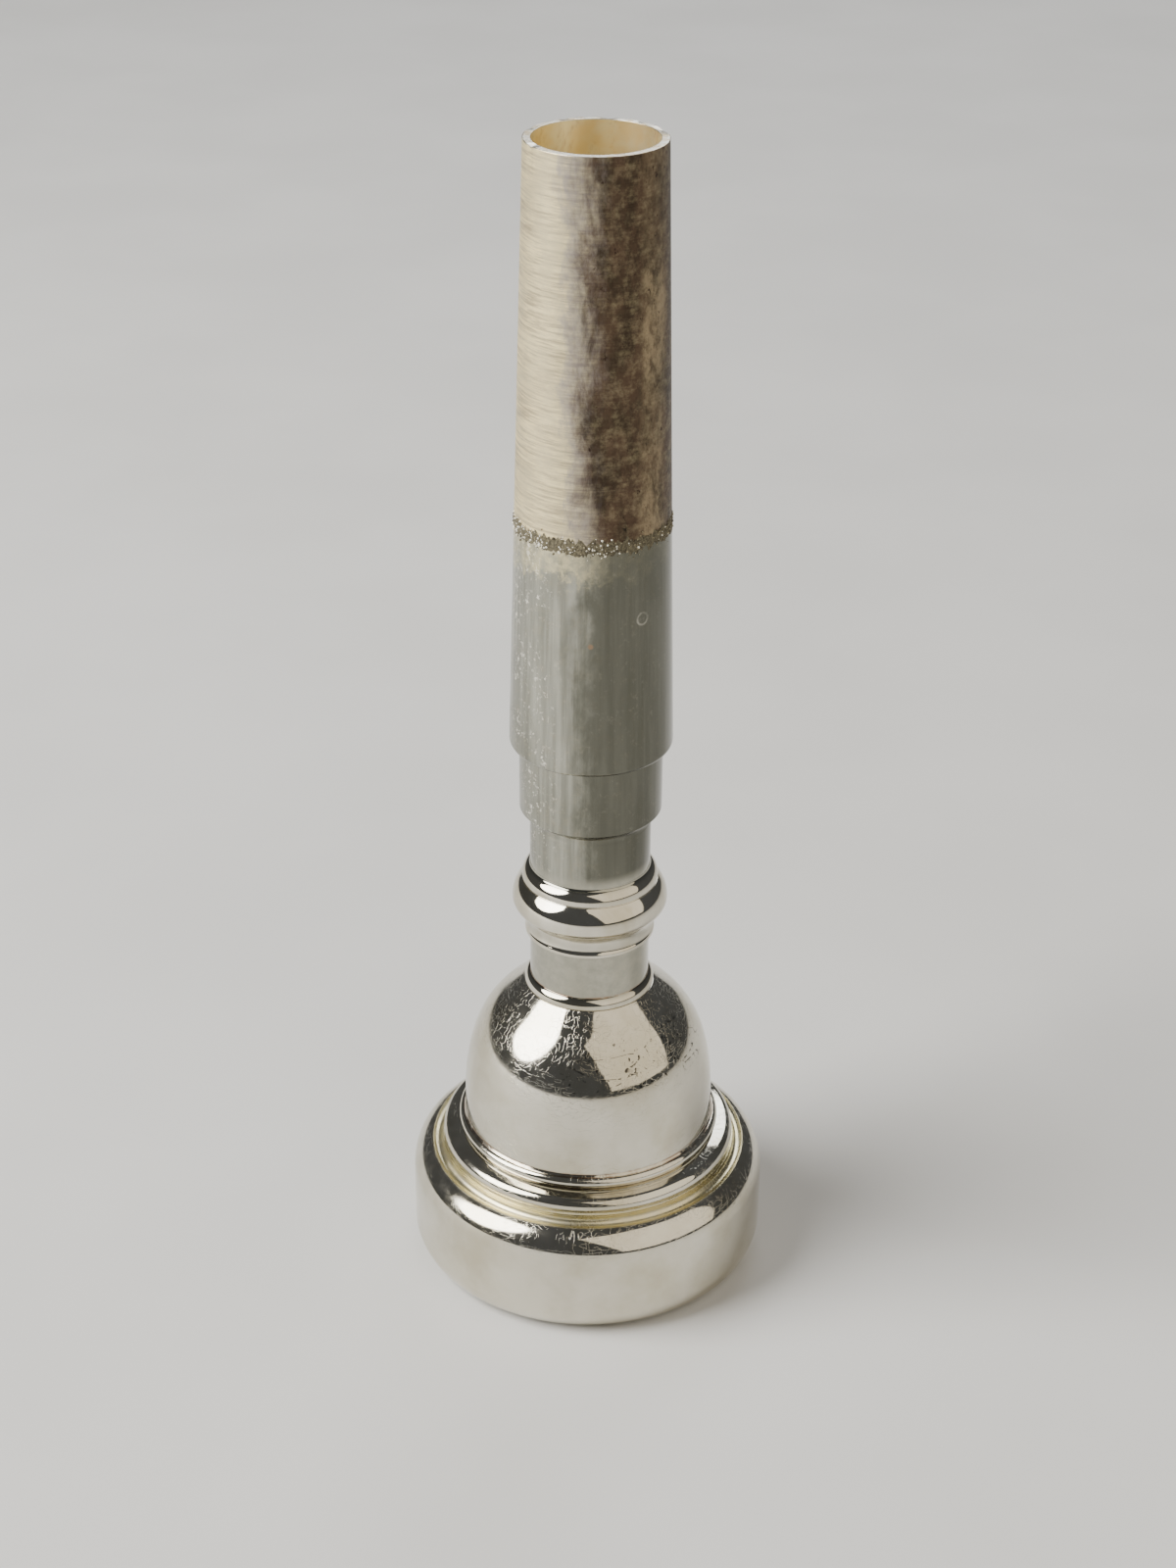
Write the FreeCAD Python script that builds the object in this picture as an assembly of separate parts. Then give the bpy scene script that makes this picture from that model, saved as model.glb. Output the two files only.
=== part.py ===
import FreeCAD, Part
import math
import os

# A trumpet-size cup mouthpiece of turned brass, in the modular form: a screw rim, a cup with a
# threaded stem, and a backbore with the shank. It stands on its rim with the shank upwards.
# Frame: millimetres, +Z up the axis, origin at the middle of the plane that the rim rests on.
# Every outline is a list of (radius, height) places in order round the piece's cross-section.

os.makedirs("parts", exist_ok=True)

# Overall
overall_length = 87.5
rim_radius = 13.5
cup_mouth_radius = 8.1
throat_radius = 1.83
exit_bore_radius = 4.25

# Rim
face_round = 1.65           # from the flat that rests on a table or on the lips into the cup
lip_radius = 7.93           # cup wall at the joint between rim and cup
lip_height = 3.0
low_round = 2.2
high_round = 2.4
high_round_top = 9.2        # where the high round would be level if it ran that far
cove_start_degrees = 68     # how far up the high round the cove starts
seat_height = 9.5           # where the rim's end face meets the cup's flange
cove_inner_radius = 11.25
cove_depth = 0.4

# Cup
cup_depth = 12.6            # from the rim's face to where the throat is cylindrical
cup_wall_degrees = 7        # how far the wall leans in where the rim meets the cup
throat_entry_round = 2.0
throat_length = 6.0
bowl_radius = 9.44
bowl_low_height = 12.0
bowl_round_height = 13.8    # the bowl is cylindrical below this and a dome above
bead_small_radius = 0.45
bead_small_middle = 9.5
bead_small_drop = 0.62      # from the bowl's lower edge to the middle of the small bead
bead_large_radius = 0.72
bead_large_rise = 0.55      # from the seat to the middle of the large bead
bead_large_middle = 10.44
bead_large_foot = -20       # degrees below level where the large bead becomes its upright foot
flange_radius = 11.13
dome_low_round = 17.0       # the dome is two rounds and a cone, each running into the next
dome_low_degrees = 15
dome_high_round = 8.0
dome_cone_degrees = 49
stem_seat_height = 23.5
stem_length = 7.0
stem_chamfer = 0.4

# Backbore: necks, beads and waist
collar_radius = 4.82
collar_height = 0.85
neck_radius = 4.43
lip_ring_radius = 4.8
lip_ring_height = 28.05
lip_ring_width = 0.22
lip_cove_top = 29.5
lip_cove_depth = 0.16
lobe_radius = 5.74
lobe_middle_height = 30.8
lobe_low_round = 0.9
lobe_foot_degrees = -60
lobe_groove_radius = 5.02
lobe_groove_height = 32.5
lobe_groove_half = 0.07     # half the groove's width, and its depth
high_lobe_middle = (4.94, 33.05)
high_lobe_end = (4.57, 33.5)
high_lobe_root = 0.3        # from the high lobe's end to the plain neck
waist_radius = 5.19
waist_bottom = 38.4
waist_top = 43.6
waist_lip = 0.1             # thickness of the waist's lower edge, over the cove
waist_cove_height = 1.0
waist_cove_width = 0.5
waist_edge_round = 0.12
shoulder_root_height = 0.25
shoulder_root_width = 0.2

# Shank
shank_end_radius = 4.8
shank_taper = 0.05          # growth of the diameter for each millimetre of length
shoulder_round = 0.45
end_round = 0.06

# Screwed joints: each thread stands as a plain cylinder at its outer radius, relieved at its ends
rim_thread_radius = 10.4
stem_thread_radius = 3.25
thread_gap = 0.02
relief_depth = 0.45
relief_width = 0.8
joint_gap = 0.05

# Mineral deposit left at the line where the receiver's mouth used to be
deposit_low = 60.3
deposit_high = 61.6
deposit_thickness = 0.13

bore_start = cup_depth + throat_length
stem_top = stem_seat_height + stem_length
cup_edge_height = lip_height + joint_gap
shoulder_height = waist_top + shoulder_round


def point(radius, height):
    return FreeCAD.Vector(radius, 0, height)


def line(start, end):
    return Part.makeLine(point(*start), point(*end))


def arc(start, middle, end):
    return Part.Arc(point(*start), point(*middle), point(*end)).toShape()


def round_arc(centre, radius, start_degrees, end_degrees):
    """An arc about a centre; 0 degrees points outwards and 90 degrees points up."""
    places = []
    for degrees in (start_degrees, (start_degrees + end_degrees) / 2, end_degrees):
        angle = math.radians(degrees)
        across = centre[0] + radius * math.cos(angle)
        up = centre[1] + radius * math.sin(angle)
        places.append((across, up))
    return arc(*places)


def bend(start, corner, end):
    """An arc from start to end that leans into the corner between them as a quarter circle does."""
    lean = math.sqrt(2) - 1
    middle = [(s + e) / 2 * (1 - lean) + c * lean for s, c, e in zip(start, corner, end)]
    return arc(start, middle, end)


def edge_start(edge):
    return edge.valueAt(edge.FirstParameter)


def edge_end(edge):
    return edge.valueAt(edge.LastParameter)


def closed_outline(pieces):
    """The edges in order, with a straight line across each gap and back to the start."""
    smallest_gap = 1e-6
    edges = []
    for piece, following in zip(pieces, pieces[1:] + pieces[:1]):
        edges.append(piece)
        gap = edge_end(piece).distanceToPoint(edge_start(following))
        if gap > smallest_gap:
            edges.append(Part.makeLine(edge_end(piece), edge_start(following)))
    return Part.Wire(edges)


def turned(*pieces):
    """A solid turned about the Z axis from the outline that the pieces make."""
    face = Part.Face(closed_outline(list(pieces)))
    solid = face.revolve(FreeCAD.Vector(0, 0, 0), FreeCAD.Vector(0, 0, 1), 360)
    if solid.Volume < 0:
        solid = solid.reversed()
    return solid


def shank_radius(height):
    return shank_end_radius + (overall_length - height) * shank_taper / 2


def bore_radius(height):
    """The backbore is a plain cone from the end of the throat to the shank's end."""
    share = (height - bore_start) / (overall_length - bore_start)
    return throat_radius + (exit_bore_radius - throat_radius) * share


def rim():
    """The rim, with a threaded socket for the cup and a shallow cove round its upper face."""
    thread_radius = rim_thread_radius + thread_gap
    relief_radius = thread_radius + relief_depth
    high_centre = (rim_radius - high_round, high_round_top - high_round)
    low_centre = (rim_radius - low_round, low_round)
    high_side = round_arc(high_centre, high_round, cove_start_degrees, 0)
    cove_start = edge_start(high_side)
    cove_middle = (
        (cove_inner_radius + cove_start.x) / 2,
        (seat_height + cove_start.z) / 2 - cove_depth,
    )
    face_middle = (cup_mouth_radius + face_round, face_round)
    return turned(
        arc((cove_inner_radius, seat_height), cove_middle, (cove_start.x, cove_start.z)),
        high_side,
        round_arc(low_centre, low_round, 0, -90),
        round_arc(face_middle, face_round, -90, -180),
        line((lip_radius, lip_height), (relief_radius, lip_height)),
        line((relief_radius, lip_height), (relief_radius, lip_height + relief_width)),
        line((thread_radius, lip_height + relief_width), (thread_radius, seat_height - relief_width)),
        line((relief_radius, seat_height - relief_width), (relief_radius, seat_height)),
    )


def cup_wall():
    """The bowl inside, one round from the lip that runs smoothly into the throat's entry."""
    entry_middle = (throat_radius + throat_entry_round, cup_depth)
    lean = math.radians(cup_wall_degrees)
    across = entry_middle[0] - lip_radius
    up = entry_middle[1] - cup_edge_height
    along = across * math.cos(lean) + up * math.sin(lean)
    wall_round = (across ** 2 + up ** 2 - throat_entry_round ** 2) / (throat_entry_round - along) / 2
    wall_middle = (lip_radius - wall_round * math.cos(lean), cup_edge_height - wall_round * math.sin(lean))
    meeting = math.degrees(math.atan2(cup_depth - wall_middle[1], entry_middle[0] - wall_middle[0]))
    return [
        round_arc(wall_middle, wall_round, cup_wall_degrees, meeting),
        round_arc(entry_middle, throat_entry_round, 180 + meeting, 180),
    ]


def cup_dome():
    """The bowl's outer curve, from under the backbore's collar down to the cylinder."""
    low_middle = (bowl_radius - dome_low_round, bowl_round_height)
    low = round_arc(low_middle, dome_low_round, dome_low_degrees, 0)
    share = 1 - dome_high_round / dome_low_round
    join = edge_start(low)
    high_middle = (
        low_middle[0] + (join.x - low_middle[0]) * share,
        low_middle[1] + (join.z - low_middle[1]) * share,
    )
    high = round_arc(high_middle, dome_high_round, dome_cone_degrees, dome_low_degrees)
    cone_foot = edge_start(high)
    cone_rise = stem_seat_height - cone_foot.z
    top_radius = cone_foot.x - cone_rise * math.tan(math.radians(dome_cone_degrees))
    return [line((top_radius, stem_seat_height), (cone_foot.x, cone_foot.z)), high, low]


def cup():
    small_middle = (bead_small_middle, bowl_low_height - bead_small_drop)
    large_middle = (bead_large_middle, seat_height + bead_large_rise)
    rim_root_radius = rim_thread_radius - relief_depth
    stem_root_radius = stem_thread_radius - relief_depth
    relief_top = stem_seat_height + relief_width
    return turned(
        *cup_dome(),
        line((bowl_radius, bowl_round_height), (bowl_radius, bowl_low_height)),
        round_arc(small_middle, bead_small_radius, 80, -75),
        round_arc(large_middle, bead_large_radius, 75, bead_large_foot),
        line((flange_radius, seat_height), (rim_root_radius, seat_height)),
        line((rim_root_radius, seat_height), (rim_root_radius, seat_height - relief_width)),
        line((rim_thread_radius, seat_height - relief_width), (rim_thread_radius, lip_height + relief_width)),
        line((rim_root_radius, lip_height + relief_width), (rim_root_radius, cup_edge_height)),
        *cup_wall(),
        line((throat_radius, cup_depth), (throat_radius, bore_start)),
        line((throat_radius, bore_start), (bore_radius(stem_top), stem_top)),
        line((stem_thread_radius - stem_chamfer, stem_top), (stem_thread_radius, stem_top - stem_chamfer)),
        line((stem_thread_radius, relief_top), (stem_root_radius, relief_top)),
        line((stem_root_radius, relief_top), (stem_root_radius, stem_seat_height)),
    )


def lower_neck():
    """The collar that sits on the cup, and the ring with a cove under the double bead."""
    collar_top = stem_seat_height + collar_height
    ring_top = lip_ring_height + lip_ring_width
    cove_middle = (lip_ring_radius - lip_cove_depth, (ring_top + lip_cove_top) / 2)
    return [
        bend((collar_radius, stem_seat_height), (collar_radius, collar_top), (neck_radius, collar_top)),
        line((neck_radius, collar_top), (neck_radius, lip_ring_height)),
        line((lip_ring_radius, lip_ring_height), (lip_ring_radius, ring_top)),
        arc((lip_ring_radius, ring_top), cove_middle, (lip_ring_radius, lip_cove_top)),
    ]


def double_bead():
    """A large lobe below and a small one above, with a fine groove between them."""
    groove_low = (lobe_groove_radius, lobe_groove_height - lobe_groove_half)
    groove_high = (lobe_groove_radius, lobe_groove_height + lobe_groove_half)
    groove_deep = (lobe_groove_radius - lobe_groove_half, lobe_groove_height)
    end_height = high_lobe_end[1]
    low_middle = (lobe_radius - lobe_low_round, lobe_middle_height)
    swell = lobe_radius - lobe_groove_radius
    rise = groove_low[1] - lobe_middle_height
    upper_round = (rise ** 2 + swell ** 2) / swell / 2
    upper_degrees = math.degrees(math.asin(rise / upper_round))
    return [
        round_arc(low_middle, lobe_low_round, lobe_foot_degrees, 0),
        round_arc((lobe_radius - upper_round, lobe_middle_height), upper_round, 0, upper_degrees),
        arc(groove_low, groove_deep, groove_high),
        arc(groove_high, high_lobe_middle, high_lobe_end),
        bend(high_lobe_end, (neck_radius, end_height), (neck_radius, end_height + high_lobe_root)),
    ]


def waist():
    """The plain band under the shank, undercut by a cove, and the start of the shank's shoulder."""
    cove_top = waist_bottom - waist_lip
    edge_middle = (waist_radius - waist_edge_round, waist_bottom + waist_edge_round)
    return [
        bend(
            (neck_radius, cove_top - waist_cove_height),
            (neck_radius, cove_top),
            (neck_radius + waist_cove_width, cove_top),
        ),
        round_arc(edge_middle, waist_edge_round, -90, 0),
        bend(
            (waist_radius, waist_top - shoulder_root_height),
            (waist_radius, waist_top),
            (waist_radius + shoulder_root_width, waist_top),
        ),
    ]


def shank():
    shoulder_middle = (shank_radius(shoulder_height) - shoulder_round, shoulder_height)
    end_middle = (shank_end_radius - end_round, overall_length - end_round)
    shoulder = round_arc(shoulder_middle, shoulder_round, -90, 0)
    end_edge = round_arc(end_middle, end_round, 0, 90)
    return [shoulder, end_edge]


def backbore():
    """The long upper piece, with a socket for the cup's stem and the backbore right through."""
    socket_radius = stem_thread_radius + thread_gap
    socket_end = stem_top + joint_gap
    return turned(
        *lower_neck(),
        *double_bead(),
        *waist(),
        *shank(),
        line((exit_bore_radius, overall_length), (bore_radius(socket_end), socket_end)),
        line((socket_radius, socket_end), (socket_radius, stem_seat_height)),
    )


def mineral_deposit():
    """A band that lies on the shank's cone and is thickest at its middle."""
    middle = (deposit_low + deposit_high) / 2
    return turned(arc(
        (shank_radius(deposit_high), deposit_high),
        (shank_radius(middle) + deposit_thickness, middle),
        (shank_radius(deposit_low), deposit_low),
    ))


pieces = {
    "screw_rim": rim,
    "cup": cup,
    "backbore_shank": backbore,
    "mineral_deposit": mineral_deposit,
}

for name, make in pieces.items():
    solid = make()
    print(name, "valid", solid.isValid(), "volume", round(solid.Volume, 2))
    solid.exportStep("parts/" + name + ".step")
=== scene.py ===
import math
import random

import bpy
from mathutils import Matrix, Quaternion, Vector, noise


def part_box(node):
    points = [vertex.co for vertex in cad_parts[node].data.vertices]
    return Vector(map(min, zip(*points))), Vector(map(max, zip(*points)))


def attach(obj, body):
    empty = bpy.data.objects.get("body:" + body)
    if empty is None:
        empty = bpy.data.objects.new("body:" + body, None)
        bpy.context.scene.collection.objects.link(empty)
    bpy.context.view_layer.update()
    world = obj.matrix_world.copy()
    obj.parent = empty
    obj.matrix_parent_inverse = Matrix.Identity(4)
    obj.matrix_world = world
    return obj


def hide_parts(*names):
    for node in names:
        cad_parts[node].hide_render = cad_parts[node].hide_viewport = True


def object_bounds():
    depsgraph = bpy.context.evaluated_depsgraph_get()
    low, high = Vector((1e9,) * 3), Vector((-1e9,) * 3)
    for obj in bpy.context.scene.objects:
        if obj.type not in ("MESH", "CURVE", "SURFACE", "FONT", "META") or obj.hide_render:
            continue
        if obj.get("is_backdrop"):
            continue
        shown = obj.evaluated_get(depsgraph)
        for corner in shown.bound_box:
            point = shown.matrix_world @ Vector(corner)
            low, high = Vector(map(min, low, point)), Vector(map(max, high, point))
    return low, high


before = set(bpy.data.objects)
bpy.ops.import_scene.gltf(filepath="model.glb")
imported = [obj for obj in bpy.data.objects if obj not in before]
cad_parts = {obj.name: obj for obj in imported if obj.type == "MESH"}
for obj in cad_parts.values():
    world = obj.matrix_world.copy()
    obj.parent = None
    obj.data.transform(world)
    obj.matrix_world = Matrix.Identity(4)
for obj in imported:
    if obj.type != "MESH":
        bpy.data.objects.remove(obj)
cad_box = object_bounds()

# The mouthpiece stands on its rim with the shank up. Every height and radius below is worked out
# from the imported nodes: each turned piece takes its cross-section from its own CAD mesh.

MM = 0.001
random_seed = 7

# How the cross-sections are drawn
around = 160                    # straight sides round each turned piece
corner_turn = math.radians(32)  # a sharper turn than this in a cross-section is a real corner
corner_round = 0.04 * MM        # how much handling has worn the corners down
corner_reach = 0.3              # the most of a side's length that its worn corner takes
step_turn = math.radians(4)     # a round stretch gets a place for every turn of this size
most_steps = 8                  # and no more places than this between two of the CAD mesh's
straight_ratio = 3              # a side this many times as long as its neighbour is straight

rim_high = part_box("screw_rim")[1]
cup_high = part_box("cup")[1]
shank_low, shank_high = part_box("backbore_shank")
deposit_low, deposit_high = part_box("mineral_deposit")

rim_radius = rim_high.x
seat_height = rim_high.z
bead_radius = cup_high.x
collar_height = shank_low.z
top_height = shank_high.z
beads_top = collar_height + 0.16 * (top_height - collar_height)
scuffs_low = collar_height - 4.4 * MM
scuffs_high = collar_height - 2.0 * MM
grime_width = 0.16 * MM

# Mineral deposit
deposit_middle = (deposit_low.z + deposit_high.z) / 2
deposit_height = deposit_high.z - deposit_low.z
deposit_wander = 0.16 * deposit_height      # how far its middle strays up and down
skin_thickness = 0.06 * MM
skin_rings = [(-0.5, -0.05), (-0.35, 0.5), (0.0, 1.0), (0.35, 0.5), (0.5, -0.05), (0.0, -0.3)]
grain_count = 1100
grain_sizes = (0.035 * MM, 0.135 * MM)
grain_spread = 0.24 * deposit_height

# Marks on the shank. Degrees run round from +X, and -90 is the front.
water_ring_degrees = -52
water_ring_height = deposit_middle - 5.6 * MM
brown_dot_degrees = -91
brown_dot_height = deposit_middle - 7.2 * MM
nick_count = 9
nick_widths = (0.25 * MM, 0.8 * MM)
nick_depths = (0.03 * MM, 0.09 * MM)
nick_reach = 0.35 * MM
nick_inwards = 0.5              # how far a nick moves metal inwards for each unit down

# Camera
camera_place = (-0.2 * MM, -176.8 * MM, 136.4 * MM)
camera_pitch_down = math.radians(28.6)
camera_tilt = math.radians(0.45)
camera_lens = 63.7
camera_sensor = 36.0
floor_half_width = 3.0


# ---------------------------------------------------------------- turned pieces

def read_outline(node):
    """The node's cross-section on the side of +X: (radius, height) places in order round it."""
    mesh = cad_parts[node].data
    on_plane = 1e-8
    neighbours = {}
    for edge in mesh.edges:
        ends = [mesh.vertices[i].co for i in edge.vertices]
        if all(abs(p.y) < on_plane and p.x > 0 for p in ends):
            a, b = [(round(p.x, 7), round(p.z, 7)) for p in ends]
            if a != b:
                neighbours.setdefault(a, set()).add(b)
                neighbours.setdefault(b, set()).add(a)
    first = min(neighbours)
    outline = [first]
    previous, place = None, first
    while True:
        following = [p for p in sorted(neighbours[place]) if p != previous]
        previous, place = place, following[0]
        if place == first:
            break
        outline.append(place)
    outline = [Vector(p) for p in outline]
    area = sum(a.cross(b) for a, b in zip(outline, outline[1:] + outline[:1]))
    if area < 0:
        outline.reverse()
    return outline


def turn_at(before, place, after):
    return (place - before).angle(after - place, 0)


def with_worn_corners(outline):
    """The same cross-section with each real corner cut back to a small round."""
    worn = []
    count = len(outline)
    for i, place in enumerate(outline):
        before, after = outline[i - 1], outline[(i + 1) % count]
        if turn_at(before, place, after) < corner_turn:
            worn.append(place)
            continue
        back = min(corner_round, (place - before).length * corner_reach)
        on = min(corner_round, (after - place).length * corner_reach)
        start = place + (before - place).normalized() * back
        end = place + (after - place).normalized() * on
        for share in (0, 0.33, 0.67, 1):
            low, high = start.lerp(place, share), place.lerp(end, share)
            worn.append(low.lerp(high, share))
    return worn


def tangent_at(before, place, after):
    """The outline's direction at a place. A side much longer than the other one is straight."""
    into, out = place - before, after - place
    if into.length > straight_ratio * out.length:
        return into.normalized()
    if out.length > straight_ratio * into.length:
        return out.normalized()
    return (into.normalized() + out.normalized()).normalized()


def refined(outline):
    """The cross-section with its round stretches drawn through more places."""
    count = len(outline)
    tangents = [tangent_at(outline[i - 1], outline[i], outline[(i + 1) % count]) for i in range(count)]
    result = []
    for i, start in enumerate(outline):
        end = outline[(i + 1) % count]
        chord = end - start
        first, last = tangents[i], tangents[(i + 1) % count]
        bend = first.angle(chord, 0) + chord.angle(last, 0)
        steps = min(most_steps, max(1, math.ceil(bend / step_turn)))
        for step in range(steps):
            t = step / steps
            place = (
                start * (2 * t ** 3 - 3 * t ** 2 + 1)
                + first * chord.length * (t ** 3 - 2 * t ** 2 + t)
                + end * (3 * t ** 2 - 2 * t ** 3)
                + last * chord.length * (t ** 3 - t ** 2)
            )
            result.append(place)
    return result


def ring_faces(rings, sides):
    """Four-sided faces between each ring of points and the next, and from the last to the first."""
    faces = []
    for ring in range(rings):
        above = (ring + 1) % rings
        for side in range(sides):
            beside = (side + 1) % sides
            faces.append((
                ring * sides + side,
                ring * sides + beside,
                above * sides + beside,
                above * sides + side,
            ))
    return faces


def add_mesh(name, points, faces, materials, finishes):
    mesh = bpy.data.meshes.new(name)
    mesh.from_pydata(points, [], faces)
    for material in materials:
        mesh.materials.append(material)
    mesh.polygons.foreach_set("material_index", finishes)
    piece = bpy.data.objects.new(name, mesh)
    bpy.context.collection.objects.link(piece)
    return piece


def replace_node(piece, node):
    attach(piece, "root")
    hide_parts(node)


def lathe(name, outline, materials, choose, dent):
    """A closed mesh turned about Z. choose(place) picks each ring's material, dent moves points."""
    points = []
    finishes = []
    for ring, place in enumerate(outline):
        for side in range(around):
            angle = 2 * math.pi * side / around
            points.append(dent(Vector((place.x * math.cos(angle), place.x * math.sin(angle), place.y))))
        following = outline[(ring + 1) % len(outline)]
        finishes += [choose((place + following) / 2)] * around
    piece = add_mesh(name, points, ring_faces(len(outline), around), materials, finishes)
    piece.data.shade_smooth()
    piece.data.set_sharp_from_angle(angle=corner_turn)
    return piece


def one_finish(place):
    return 0


def undented(place):
    return place


def turned_piece(name, node, materials, choose=one_finish, dent=undented):
    outline = refined(with_worn_corners(read_outline(node)))
    piece = lathe(name, outline, materials, choose, dent)
    replace_node(piece, node)


# ---------------------------------------------------------------- sizes read from the cross-sections

shank_outline = read_outline("backbore_shank")
end_radii = [place.x for place in shank_outline if place.y > top_height - 0.1 * MM]
exit_radius = min(end_radii)
shank_end_radius = max(end_radii)
neck_radius = min(place.x for place in shank_outline if place.x > exit_radius + 0.1 * MM)
deposit_foot = min(read_outline("mineral_deposit"), key=lambda place: place.y)


def inside_corners(node):
    """The node's sharp inside corners, where grime gathers, as (radius, height) places."""
    outline = read_outline(node)
    corners = []
    for i, place in enumerate(outline):
        before, after = outline[i - 1], outline[(i + 1) % len(outline)]
        hollow = (place - before).cross(after - place) < 0
        if hollow and place.x > exit_radius and turn_at(before, place, after) > corner_turn:
            corners.append(place)
    return corners


def shank_radius(height):
    """The shank is a plain cone, from its end down past the deposit."""
    share = (top_height - height) / (top_height - deposit_foot.y)
    return shank_end_radius + (deposit_foot.x - shank_end_radius) * share


def on_shank(degrees, height):
    angle = math.radians(degrees)
    radius = shank_radius(height)
    return (radius * math.cos(angle), radius * math.sin(angle), height)


# ---------------------------------------------------------------- nicks and deposit

def nicked_end():
    """Small dents pressed into the outer edge of the shank's end."""
    chance = random.Random(random_seed)
    nicks = []
    for _ in range(nick_count):
        middle = chance.uniform(0, 2 * math.pi)
        width = chance.uniform(*nick_widths)
        nicks.append((middle, width, chance.uniform(*nick_depths)))

    def dent(place):
        below_end = top_height - place.z
        radius = math.hypot(place.x, place.y)
        if below_end > nick_reach or radius < exit_radius + nick_reach:
            return place
        angle = math.atan2(place.y, place.x)
        moved = place.copy()
        for middle, width, depth in nicks:
            away = abs(math.remainder(angle - middle, 2 * math.pi)) * radius / width
            if away < 1:
                push = depth * (1 - away ** 2) * (1 - below_end / nick_reach)
                moved.z -= push
                moved.x -= push * nick_inwards * place.x / radius
                moved.y -= push * nick_inwards * place.y / radius
        return moved

    return dent


def icosahedron():
    golden = (1 + math.sqrt(5)) / 2
    longest_edge = 1.1          # for corners at distance 1 the edges are 1.05 and the diagonals 1.7
    corners = []
    for short in (1, -1):
        for long in (golden, -golden):
            corners += [(0, short, long), (short, long, 0), (long, 0, short)]
    corners = [Vector(corner).normalized() for corner in corners]
    faces = []
    for a in range(12):
        for b in range(a + 1, 12):
            for c in range(b + 1, 12):
                p, q, r = corners[a], corners[b], corners[c]
                if max((p - q).length, (q - r).length, (p - r).length) < longest_edge:
                    outwards = (q - p).cross(r - p).dot(p) > 0
                    faces.append((a, b, c) if outwards else (a, c, b))
    return corners, faces


def limited(value, low, high):
    return min(high, max(low, value))


def strayed_middle(spot):
    """The height of the deposit's middle line in this direction from the axis."""
    return deposit_middle + deposit_wander * noise.noise(spot * 9)


def deposit_skin():
    """A thin ragged skin under the grains, closed all round."""
    sides = around * 2
    points = []
    for share, swell in skin_rings:
        for side in range(sides):
            angle = 2 * math.pi * side / sides
            spot = Vector((math.cos(angle), math.sin(angle), 0))
            ragged = 0.75 + 0.9 * noise.fractal(spot * 22 + Vector((0, 0, share * 9)), 1.0, 2.0, 3)
            height = strayed_middle(spot) + share * deposit_height * limited(ragged, 0.35, 1.1)
            radius = shank_radius(height) + skin_thickness * swell * limited(ragged, 0.3, 1.3)
            points.append((radius * spot.x, radius * spot.y, height))
    return points, ring_faces(len(skin_rings), sides)


def make_deposit(materials):
    """The ragged skin with grains scattered over it, in one mesh."""
    gaps, pale, tan = range(3)
    chance = random.Random(random_seed)
    points, faces = deposit_skin()
    finishes = [gaps] * len(faces)
    corners, triangles = icosahedron()
    for _ in range(grain_count):
        angle = chance.uniform(0, 2 * math.pi)
        spot = Vector((math.cos(angle), math.sin(angle), 0))
        thin_here = noise.noise(spot * 5) < -0.05 and chance.random() < 0.55
        if thin_here:
            continue
        height = strayed_middle(spot) + chance.gauss(0, grain_spread)
        size = chance.uniform(*grain_sizes) * (0.7 + 0.5 * noise.noise(spot * 30))
        centre = spot * (shank_radius(height) + size * 0.25)
        centre.z = height
        first = len(points)
        for corner in corners:
            points.append(centre + corner * size * chance.uniform(0.65, 1.2))
        faces += [tuple(first + i for i in triangle) for triangle in triangles]
        # The share of pale grains grows towards the left: partly the crust's own colour, partly painted
        # light on the lit side.
        pale_and_lit_share = 0.42 - 0.40 * spot.x
        finish = pale if chance.random() < pale_and_lit_share else chance.choice((gaps, tan))
        finishes += [finish] * len(triangles)
    piece = add_mesh("deposit", points, faces, materials, finishes)
    replace_node(piece, "mineral_deposit")


# ---------------------------------------------------------------- materials

SILVER = (0.68, 0.65, 0.56)
WARM_SILVER = (0.52, 0.48, 0.37)
YELLOW_TARNISH = (0.70, 0.63, 0.38)
OLIVE_TARNISH = (0.34, 0.335, 0.28)
BROWN_TARNISH = (0.30, 0.20, 0.13)
BLACK_SPOT = (0.03, 0.025, 0.02)

CREAM_PLATE = (1.0, 0.87, 0.53)
CREAM_SCRATCH = (0.52, 0.44, 0.29)
GOLD_PATCH = (0.74, 0.65, 0.42)
# A grey-lavender tint, used as painted half-shade between the lit left and the shaded right of the upper
# shank.
LAVENDER_HALF_SHADE = (0.40, 0.36, 0.375)
# Brown on the right of the upper shank: partly tarnish, partly painted shade.
BROWN_STAIN_AND_SHADE = (0.085, 0.053, 0.038)
DARK_BROWN_STAIN_AND_SHADE = (0.038, 0.025, 0.019)
# A tan streak near the right edge of the upper shank: partly stain, partly a painted highlight.
TAN_STREAK_AND_HIGHLIGHT = (0.44, 0.35, 0.22)
BROWN_SPOT = (0.05, 0.032, 0.024)

GREY_PLATE = (0.42, 0.42, 0.365)
DULL_PLATE = (0.28, 0.28, 0.235)
# Dark streaks down the lower shank: painted reflections.
DARK_REFLECTION_STREAK = (0.16, 0.16, 0.13)
BROWNISH_MOTTLE = (0.34, 0.30, 0.21)
# Painted shade on the right of the lower shank.
PAINTED_SHADE_RIGHT = (0.085, 0.085, 0.068)
DRIED_WATER = (0.60, 0.58, 0.50)
CREAM_STAIN = (0.68, 0.61, 0.39)
WHITE_SPECK = (0.92, 0.89, 0.80)

BRASS = (0.95, 0.80, 0.46)
PALE_BRASS = (0.98, 0.90, 0.64)
BRASS_STAIN = (0.42, 0.27, 0.12)
RUBBED_PLATE = (0.88, 0.84, 0.72)
RUBBED_BRASS = (0.66, 0.52, 0.30)

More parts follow.
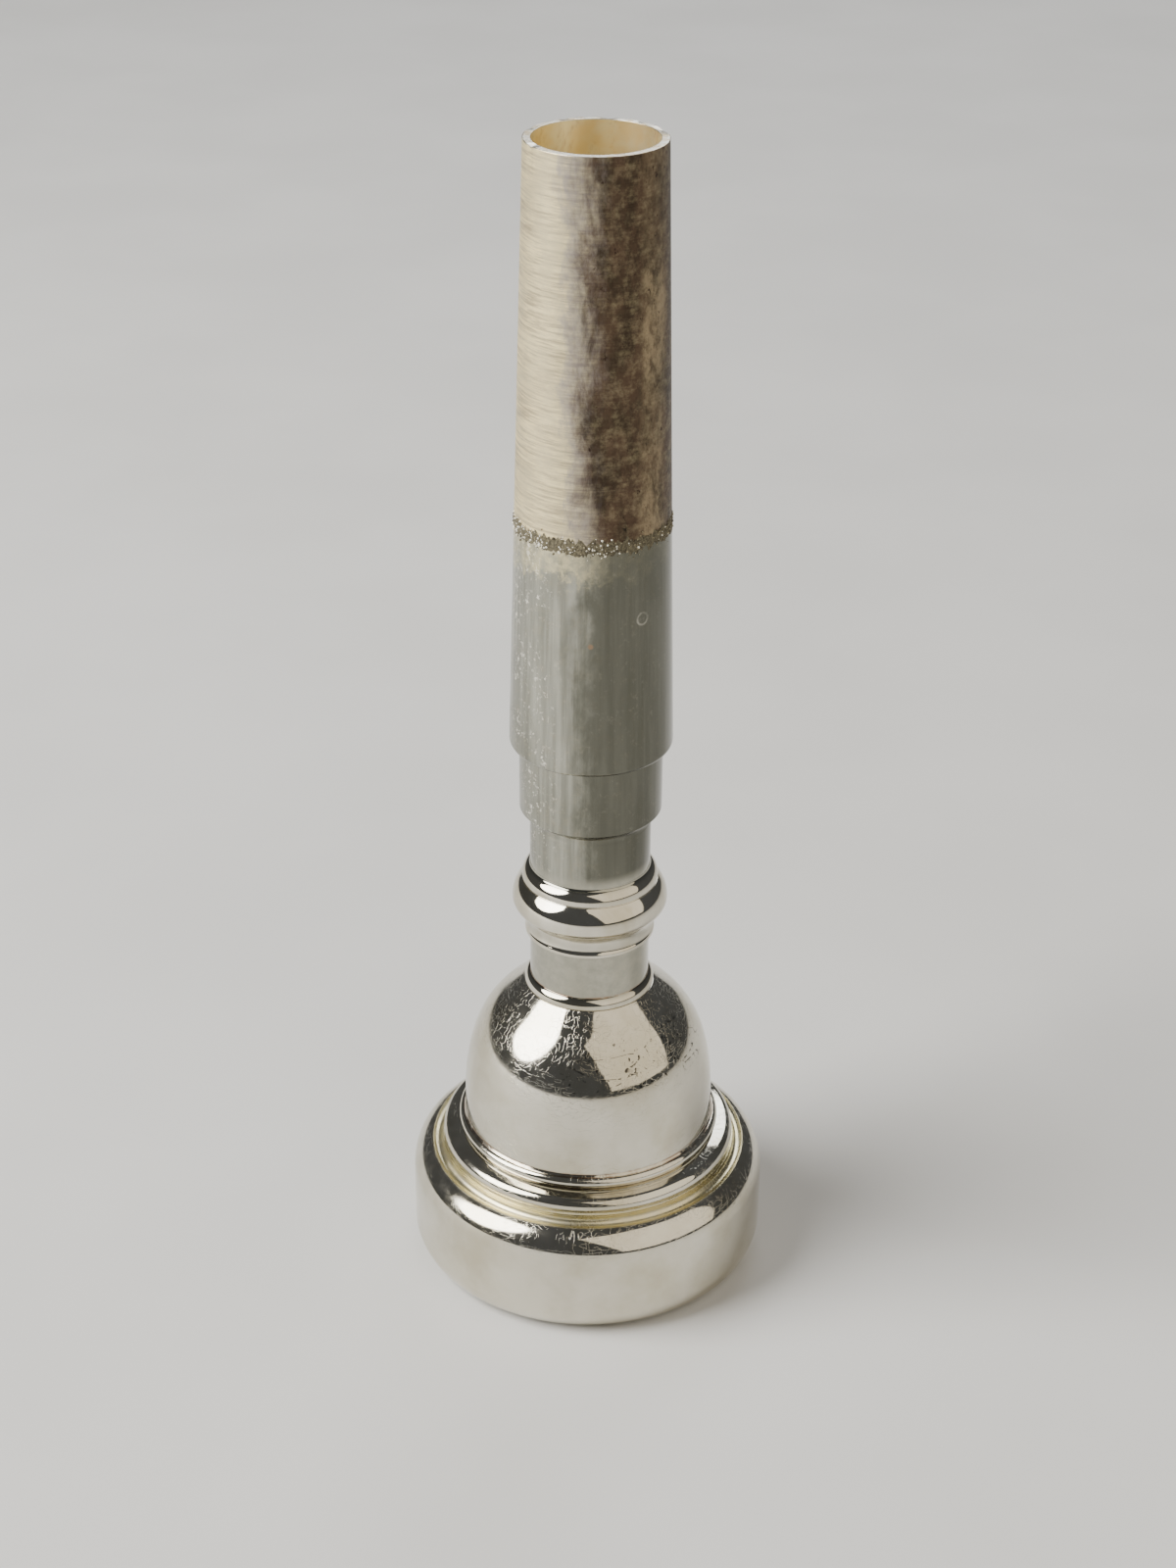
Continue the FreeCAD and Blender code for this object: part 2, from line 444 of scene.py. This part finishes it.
GAP_COLOURS = ((0.16, 0.14, 0.085), (0.06, 0.05, 0.03))
PALE_GRAIN_COLOURS = ((0.93, 0.91, 0.84), (0.72, 0.68, 0.54))
TAN_GRAIN_COLOURS = ((0.36, 0.31, 0.20), (0.17, 0.145, 0.085))
FLOOR_COLOURS = ((0.66, 0.66, 0.65), (0.70, 0.70, 0.69))


class Finish:
    """A material whose nodes work from the place on the object, in metres."""

    def __init__(self, name):
        self.material = bpy.data.materials.new(name)
        self.material.use_nodes = True
        self.tree = self.material.node_tree
        self.shader = self.tree.nodes["Principled BSDF"]
        self.place = self.add("ShaderNodeTexCoord").outputs["Object"]
        axes = self.add("ShaderNodeSeparateXYZ")
        self.feed(axes.inputs[0], self.place)
        self.x, self.y, self.z = axes.outputs

    def add(self, kind, **settings):
        node = self.tree.nodes.new(kind)
        for key, value in settings.items():
            setattr(node, key, value)
        return node

    def feed(self, socket, value):
        if isinstance(value, bpy.types.NodeSocket):
            self.tree.links.new(value, socket)
        else:
            socket.default_value = value

    def calc(self, operation, a, b=0.0):
        node = self.add("ShaderNodeMath", operation=operation)
        self.feed(node.inputs[0], a)
        self.feed(node.inputs[1], b)
        return node.outputs[0]

    def times(self, first, *others):
        for other in others:
            first = self.calc("MULTIPLY", first, other)
        return first

    def plus(self, first, *others):
        for other in others:
            first = self.calc("ADD", first, other)
        return first

    def minus(self, a, b):
        return self.calc("SUBTRACT", a, b)

    def larger(self, a, b):
        return self.calc("MAXIMUM", a, b)

    def range(self, value, low, high, to_low=0.0, to_high=1.0):
        """value taken smoothly from low and high to to_low and to_high, and held beyond them."""
        node = self.add("ShaderNodeMapRange", interpolation_type="SMOOTHSTEP")
        for socket, number in zip(node.inputs, (value, low, high, to_low, to_high)):
            self.feed(socket, number)
        return node.outputs[0]

    def band(self, value, low, high, soft):
        """1 where value lies between low and high, fading to 0 over soft on each side."""
        up = self.range(value, low - soft, low)
        down = self.range(value, high, high + soft, 1.0, 0.0)
        return self.times(up, down)

    def mix(self, share, a, b):
        """Colour a where share is 0 and colour b where it is 1."""
        node = self.add("ShaderNodeMix", data_type="RGBA")
        colour_a, colour_b, colour_result = node.inputs[6], node.inputs[7], node.outputs[2]
        self.feed(node.inputs["Factor"], share)
        self.feed(colour_a, (*a, 1) if isinstance(a, tuple) else a)
        self.feed(colour_b, (*b, 1) if isinstance(b, tuple) else b)
        return colour_result

    def stretched(self, scale):
        node = self.add("ShaderNodeVectorMath", operation="MULTIPLY")
        self.feed(node.inputs[0], self.place)
        node.inputs[1].default_value = scale
        return node.outputs[0]

    def noise(self, scale, detail=3.0, rough=0.5, warp=0.0):
        """Cloudy noise. scale is features per metre, one number or one each way."""
        scale = (scale,) * 3 if isinstance(scale, (int, float)) else scale
        node = self.add("ShaderNodeTexNoise")
        self.feed(node.inputs["Vector"], self.stretched(scale))
        node.inputs["Scale"].default_value = 1.0
        node.inputs["Detail"].default_value = detail
        node.inputs["Roughness"].default_value = rough
        node.inputs["Distortion"].default_value = warp
        return node.outputs["Fac"]

    def cells(self, scale):
        """A cell for each spot scattered through space, scale of them per metre."""
        node = self.add("ShaderNodeTexVoronoi", feature="F1")
        self.feed(node.inputs["Vector"], self.stretched((scale,) * 3))
        node.inputs["Scale"].default_value = 1.0
        return node.outputs["Distance"], node.outputs["Color"]

    def hairlines(self, scale, width):
        """Thin curved lines: where a cloudy noise crosses its middle value."""
        off_middle = self.calc("ABSOLUTE", self.minus(self.noise(scale, 1.0), 0.5))
        return self.range(off_middle, 0.0, width, 1.0, 0.0)

    def bump(self, height, strength, distance):
        node = self.add("ShaderNodeBump")
        node.inputs["Strength"].default_value = strength
        node.inputs["Distance"].default_value = distance
        self.feed(node.inputs["Height"], height)
        return node.outputs[0]

    def distance_to(self, place, here=None):
        node = self.add("ShaderNodeVectorMath", operation="DISTANCE")
        self.feed(node.inputs[0], here or self.place)
        node.inputs[1].default_value = place
        return node.outputs["Value"]

    def radius(self):
        return self.calc("SQRT", self.plus(self.times(self.x, self.x), self.times(self.y, self.y)))

    def grime(self, corners):
        """Patchy dirt in thin lines round the object at these (radius, height) places."""
        profile = self.add("ShaderNodeCombineXYZ")
        self.feed(profile.inputs["X"], self.radius())
        self.feed(profile.inputs["Z"], self.z)
        lines = 0.0
        for corner in corners:
            away = self.distance_to((corner.x, 0, corner.y), profile.outputs[0])
            lines = self.larger(lines, self.range(away, 0.0, grime_width, 1.0, 0.0))
        return self.times(lines, self.range(self.noise(700, 4.0, 0.7), 0.35, 0.62, 0.1, 0.9))

    def finish(self, colour, roughness, normal, metallic=1.0):
        self.feed(self.shader.inputs["Base Color"], colour)
        self.feed(self.shader.inputs["Roughness"], roughness)
        self.feed(self.shader.inputs["Normal"], normal)
        self.shader.inputs["Metallic"].default_value = metallic
        return self.material


def cove_tarnish(f):
    """How much of the tarnish in the cove between the rim and the large bead lies here."""
    high = f.band(f.z, seat_height - 0.7 * MM, seat_height + 0.1 * MM, 0.3 * MM)
    wide = f.band(f.radius(), bead_radius, bead_radius + 0.8 * MM, 0.25 * MM)
    return f.times(high, wide)


def dome_scuffs(f):
    """Small dark scuffs and a broken scratch on the right of the dome's front."""
    dome = f.band(f.z, scuffs_low, scuffs_high, 1.0 * MM)
    right_front = f.range(f.minus(f.times(f.x, 0.7), f.y), 0.42 * rim_radius, 0.62 * rim_radius)
    dots = f.range(f.noise((2600, 2600, 2000), 3.0, 0.6, 1.0), 0.64, 0.67)
    broken = f.range(f.noise(2600, 2.0), 0.48, 0.53)
    scratch = f.times(f.hairlines((260, 260, 700), 0.02), broken)
    return f.times(f.larger(dots, scratch), dome, right_front)


def polished_silver():
    """Mirror-polished plate with smudges, hair scratches, small scuffs and tarnish in the cove."""
    f = Finish("polished_silver")
    colour = f.mix(f.range(f.noise(160, 4.0, 0.6), 0.35, 0.75), SILVER, WARM_SILVER)
    cove = cove_tarnish(f)
    patchy = f.range(f.noise(900, 4.0, 0.7), 0.3, 0.6, 0.4, 0.9)
    colour = f.mix(f.times(cove, patchy), colour, YELLOW_TARNISH)
    colour = f.mix(f.grime(inside_corners("cup") + inside_corners("screw_rim")), colour, BROWN_TARNISH)
    colour = f.mix(dome_scuffs(f), colour, BLACK_SPOT)

    smudge = f.range(f.noise(420, 5.0, 0.65, 0.6), 0.45, 0.75)
    scratches = f.larger(f.hairlines((900, 900, 2600), 0.010), f.hairlines((2100, 1500, 700), 0.008))
    scratches = f.times(scratches, f.range(f.noise(260, 3.0), 0.36, 0.60, 0.1, 1.0))
    rubbed = f.range(f.x, -0.6 * rim_radius, 0.05 * rim_radius, 1.0, 0.0)
    rubbed = f.times(rubbed, f.range(f.noise((700, 700, 1200), 4.0, 0.65), 0.35, 0.65, 0.25, 1.0))
    roughness = f.plus(
        f.times(smudge, 0.07),
        0.045,
        f.times(rubbed, 0.11),
        f.times(scratches, 0.16),
        f.times(cove, 0.22),
    )
    normal = f.bump(f.minus(f.times(smudge, 0.5), scratches), 0.35, 0.01 * MM)
    return f.finish(colour, roughness, normal)


class ShankFinish(Finish):
    """The shank's finish, with the masks that its upper and lower parts share."""

    def __init__(self, name):
        super().__init__(name)
        end = shank_end_radius
        self.above = self.range(self.z, deposit_middle - 0.3 * MM, deposit_middle + 0.3 * MM)
        self.worn = self.range(self.z, beads_top, beads_top + 1.0 * MM)
        self.mottle = self.noise(1300, 5.0, 0.7)
        self.cloud = self.noise((260, 260, 90), 4.0, 0.6, 0.3)
        patches = self.noise((500, 500, 220), 5.0, 0.7, 0.3)
        self.ragged = self.range(patches, 0.2, 0.8, -0.22 * end, 0.22 * end)
        # right rises towards the right of the front. It places the brown, which is partly tarnish and partly
        # painted shade, the painted shade on the lower shank, and the brown spots.
        slant = self.minus(self.x, self.times(self.y, 0.3))
        self.right = self.range(self.plus(slant, self.ragged), -0.2 * end, 0.55 * end)
        # The brown: partly tarnish, partly painted shade on the right.
        self.brown = self.times(
            self.range(self.mottle, 0.25, 0.6, 0.82, 1.0),
            self.range(self.right, 0.0, 1.0, 0.06, 0.97),
        )

    def part_of_mottle(self, low, high, to_low, to_high):
        return self.range(self.mottle, low, high, to_low, to_high)


def upper_shank(f):
    """Cream plate, scratched round and round, with brown on the right that is partly tarnish and partly
    painted shade, a grey-lavender band of painted half-shade before it, and a tan streak that is partly a
    painted highlight.
    """
    end = shank_end_radius
    streaks = f.noise((260, 260, 4200), 4.0, 0.75)
    colour = f.mix(f.range(streaks, 0.38, 0.66), CREAM_PLATE, CREAM_SCRATCH)
    gold = f.range(f.noise((420, 420, 300), 4.0, 0.6), 0.46, 0.64, 0.0, 0.6)
    colour = f.mix(gold, colour, GOLD_PATCH)
    # A grey-lavender tint laid as painted half-shade between the lit left and the painted shade on the
    # right.
    lavender_half_shade = f.band(f.plus(f.x, f.ragged), -0.3 * end, 0.0, 0.18 * end)
    colour = f.mix(f.times(lavender_half_shade, f.part_of_mottle(0.3, 0.7, 0.35, 0.75)), colour, LAVENDER_HALF_SHADE)
    darker = f.range(f.noise((600, 600, 260), 5.0, 0.7), 0.38, 0.62)
    # Brown on the right: partly tarnish, partly painted shade.
    colour = f.mix(f.brown, colour, f.mix(darker, BROWN_STAIN_AND_SHADE, DARK_BROWN_STAIN_AND_SHADE))
    # The tan streak near the right edge: partly stain, partly a painted highlight.
    tan = f.times(
        f.band(f.x, 0.72 * end, 0.90 * end, 0.13 * end),
        f.range(f.noise((1500, 1500, 900), 6.0, 0.75), 0.34, 0.66, 0.10, 0.85),
        f.range(f.noise((90, 90, 160), 2.0), 0.35, 0.6, 0.35, 1.0),
    )
    colour = f.mix(tan, colour, TAN_STREAK_AND_HIGHLIGHT)
    spots = f.range(f.noise((1500, 1500, 1100), 4.0, 0.7), 0.63, 0.70)
    return f.mix(f.times(spots, f.range(f.right, 0.35, 0.8)), colour, BROWN_SPOT)


def lower_shank(f):
    """Dull grey plate with dark streaks that run down it as painted reflections, darker on the right as
    painted shade.
    """
    colour = f.mix(f.range(f.cloud, 0.36, 0.68), GREY_PLATE, DULL_PLATE)
    # Dark streaks that run down the lower shank are painted reflections.
    streaks = f.range(f.noise((1500, 1500, 45), 4.0, 0.7), 0.36, 0.66, 0.0, 0.62)
    colour = f.mix(streaks, colour, DARK_REFLECTION_STREAK)
    colour = f.mix(f.part_of_mottle(0.45, 0.75, 0.0, 0.35), colour, BROWNISH_MOTTLE)
    # Painted shade: the lower shank darkens towards the right.
    return f.mix(f.range(f.right, 0.0, 1.0, 0.0, 0.8), colour, PAINTED_SHADE_RIGHT)


def water_ring(f, colour):
    away = f.distance_to(on_shank(water_ring_degrees, water_ring_height))
    ring = f.band(away, 0.40 * MM, 0.46 * MM, 0.08 * MM)
    return f.mix(f.times(ring, f.part_of_mottle(0.35, 0.65, 0.08, 0.42)), colour, DRIED_WATER)


def brown_dot(f, colour):
    away = f.distance_to(on_shank(brown_dot_degrees, brown_dot_height))
    return f.mix(f.times(f.range(away, 0.10 * MM, 0.26 * MM, 1.0, 0.0), 0.85), colour, BROWN_TARNISH)


def beads_and_necks(f):
    """Plate that is still bright on the beads, and tarnished in the necks where no cloth reaches."""
    plate = f.mix(f.range(f.cloud, 0.36, 0.68), SILVER, WARM_SILVER)
    recess = f.range(f.radius(), neck_radius + 0.05 * MM, neck_radius + 0.35 * MM, 1.0, 0.0)
    return f.mix(f.times(recess, f.part_of_mottle(0.3, 0.7, 0.7, 1.0)), plate, OLIVE_TARNISH)


def stain_under_deposit(f, colour):
    end = shank_end_radius
    uneven = f.range(f.noise(480, 5.0, 0.7), 0.3, 0.7, -1.3 * MM, 1.3 * MM)
    just_below = f.band(f.plus(f.z, uneven), deposit_middle - 1.6 * MM, deposit_middle, 1.2 * MM)
    on_left = f.range(f.x, -0.4 * end, 0.35 * end, 1.0, 0.06)
    return f.mix(f.times(just_below, f.part_of_mottle(0.35, 0.65, 0.25, 0.85), on_left), colour, CREAM_STAIN)


def pits_above(f):
    """A few deep black pits above the deposit, each in its own cell and ragged at its edge."""
    away, cell = f.cells(420)
    chosen = f.calc("GREATER_THAN", cell, 0.86)
    edge = f.plus(away, f.times(f.noise(4200, 4.0, 0.7), 0.20))
    return f.times(f.range(edge, 0.17, 0.21, 1.0, 0.0), chosen, f.above)


def worn_shank():
    """Satin plate, scratched round and round above the deposit, dull and specked below it."""
    f = ShankFinish("worn_shank")
    end = shank_end_radius
    lower = brown_dot(f, water_ring(f, lower_shank(f)))
    lower = f.mix(f.worn, beads_and_necks(f), lower)
    lower = f.mix(f.grime(inside_corners("backbore_shank")), lower, BROWN_TARNISH)
    colour = f.mix(f.above, stain_under_deposit(f, lower), upper_shank(f))
    pits = pits_above(f)
    colour = f.mix(pits, colour, BLACK_SPOT)

    left = f.range(f.x, -0.9 * end, -0.3 * end, 1.0, 0.05)
    etched = f.times(left, f.worn, f.range(f.noise(420, 5.0, 0.7), 0.34, 0.68))
    below = f.minus(1.0, f.above)
    specks = f.times(f.range(f.noise(2600, 4.0, 0.75), 0.575, 0.62), below, etched)
    colour = f.mix(specks, colour, WHITE_SPECK)

    speckle = f.noise(5200, 3.0, 0.7)
    frost = f.times(etched, 0.16)
    satin = f.times(f.above, f.range(speckle, 0.35, 0.7, 0.20, 0.30))
    roughness = f.plus(
        f.range(f.worn, 0.0, 1.0, 0.06, 0.15),
        frost,
        satin,
        f.times(specks, 0.3),
        f.times(f.brown, f.above, 0.10),
    )
    lines = f.times(f.noise((180, 180, 5600), 4.0, 0.8), f.above)
    grain = f.times(speckle, f.plus(f.times(frost, 1.2), 0.04))
    height = f.minus(f.plus(lines, grain, f.times(specks, 0.8)), f.times(pits, 2.5))
    return f.finish(colour, roughness, f.bump(height, 0.6, 0.03 * MM))


def stained_brass():
    """The bare bore, golden with brown stains."""
    f = Finish("stained_brass")
    stain = f.range(f.noise((420, 420, 300), 5.0, 0.7, 0.6), 0.50, 0.68)
    colour = f.mix(f.range(f.noise(700, 4.0), 0.35, 0.65), BRASS, PALE_BRASS)
    colour = f.mix(f.times(stain, 0.7), colour, BRASS_STAIN)
    normal = f.bump(f.noise((300, 300, 3000), 3.0, 0.6), 0.2, 0.01 * MM)
    return f.finish(colour, f.range(stain, 0.0, 1.0, 0.30, 0.50), normal, metallic=0.88)


def bright_end():
    """The shank's end face, rubbed bright, with the brass just showing."""
    f = Finish("bright_end")
    colour = f.mix(f.range(f.noise(1100, 4.0, 0.7), 0.42, 0.66), RUBBED_PLATE, RUBBED_BRASS)
    normal = f.bump(f.noise(3500, 4.0, 0.7), 0.3, 0.02 * MM)
    return f.finish(colour, 0.26, normal)


def deposit_finish(name, colours):
    f = Finish(name)
    colour = f.mix(f.range(f.noise(5200, 4.0, 0.7), 0.38, 0.62), *colours)
    normal = f.bump(f.noise(11000, 3.0, 0.7), 0.6, 0.015 * MM)
    return f.finish(colour, 0.82, normal, metallic=0.0)


def pale_floor():
    f = Finish("pale_floor")
    colour = f.mix(f.range(f.noise(30, 3.0), 0.3, 0.7), *FLOOR_COLOURS)
    normal = f.bump(f.noise(2500, 2.0), 0.05, 0.05 * MM)
    return f.finish(colour, 0.7, normal, metallic=0.0)


# ---------------------------------------------------------------- stage, light and camera

def make_stage():
    half = floor_half_width
    corners = [(-half, -half, 0), (half, -half, 0), (half, half, 0), (-half, half, 0)]
    floor = add_mesh("floor", corners, [(0, 1, 2, 3)], [pale_floor()], [0])
    floor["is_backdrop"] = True


def soft_box(name, shape, place, size, watts, colour):
    """A flat light that faces the middle of the object."""
    light = bpy.data.lights.new(name, "AREA")
    light.shape = shape
    light.size, light.size_y = size
    light.energy = watts
    light.color = colour
    lamp = bpy.data.objects.new(name, light)
    lamp.location = place
    aim = Vector((0, 0, top_height / 2))
    lamp.rotation_euler = (aim - Vector(place)).to_track_quat("-Z", "Y").to_euler()
    bpy.context.collection.objects.link(lamp)


def make_light():
    soft_box("key", "ELLIPSE", (-0.48, -0.12, 0.44), (0.46, 0.60), watts=9.0, colour=(1.0, 0.98, 0.94))
    soft_box("fill", "RECTANGLE", (0.46, -0.36, 0.48), (1.00, 0.95), watts=3.6, colour=(1.0, 0.90, 0.74))
    soft_box("back", "ELLIPSE", (0.12, 0.62, 0.42), (0.45, 0.25), watts=1.3, colour=(0.95, 0.97, 1.0))
    world = bpy.data.worlds.new("studio")
    bpy.context.scene.world = world
    world.use_nodes = True
    background = world.node_tree.nodes["Background"]
    background.inputs["Color"].default_value = (0.80, 0.82, 0.85, 1)
    background.inputs["Strength"].default_value = 0.11


def make_camera():
    data = bpy.data.cameras.new("camera")
    data.sensor_width = camera_sensor
    data.lens = camera_lens
    camera = bpy.data.objects.new("camera", data)
    camera.location = camera_place
    camera.rotation_mode = "QUATERNION"
    level_turn = Quaternion((1, 0, 0), math.pi / 2 - camera_pitch_down)
    camera.rotation_quaternion = level_turn @ Quaternion((0, 0, 1), camera_tilt)
    bpy.context.collection.objects.link(camera)
    bpy.context.scene.camera = camera


# ---------------------------------------------------------------- the object

def shank_finish(place):
    """0 is the worn plate outside, 1 the bore and 2 the end face."""
    if place.x < exit_radius - 0.01 * MM:
        return 1
    if place.y > top_height - 0.02 * MM:
        return 2
    return 0


silver = polished_silver()
turned_piece("rim", "screw_rim", [silver])
turned_piece("cup_body", "cup", [silver])
turned_piece(
    "shank",
    "backbore_shank",
    [worn_shank(), stained_brass(), bright_end()],
    shank_finish,
    nicked_end(),
)
make_deposit([
    deposit_finish("deposit_gaps", GAP_COLOURS),
    deposit_finish("deposit_grains", PALE_GRAIN_COLOURS),
    deposit_finish("deposit_tan", TAN_GRAIN_COLOURS),
])

make_stage()
make_light()
make_camera()

boxes = {"cad": cad_box, "visual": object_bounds()}
{name: [list(corner) for corner in box] for name, box in boxes.items()}
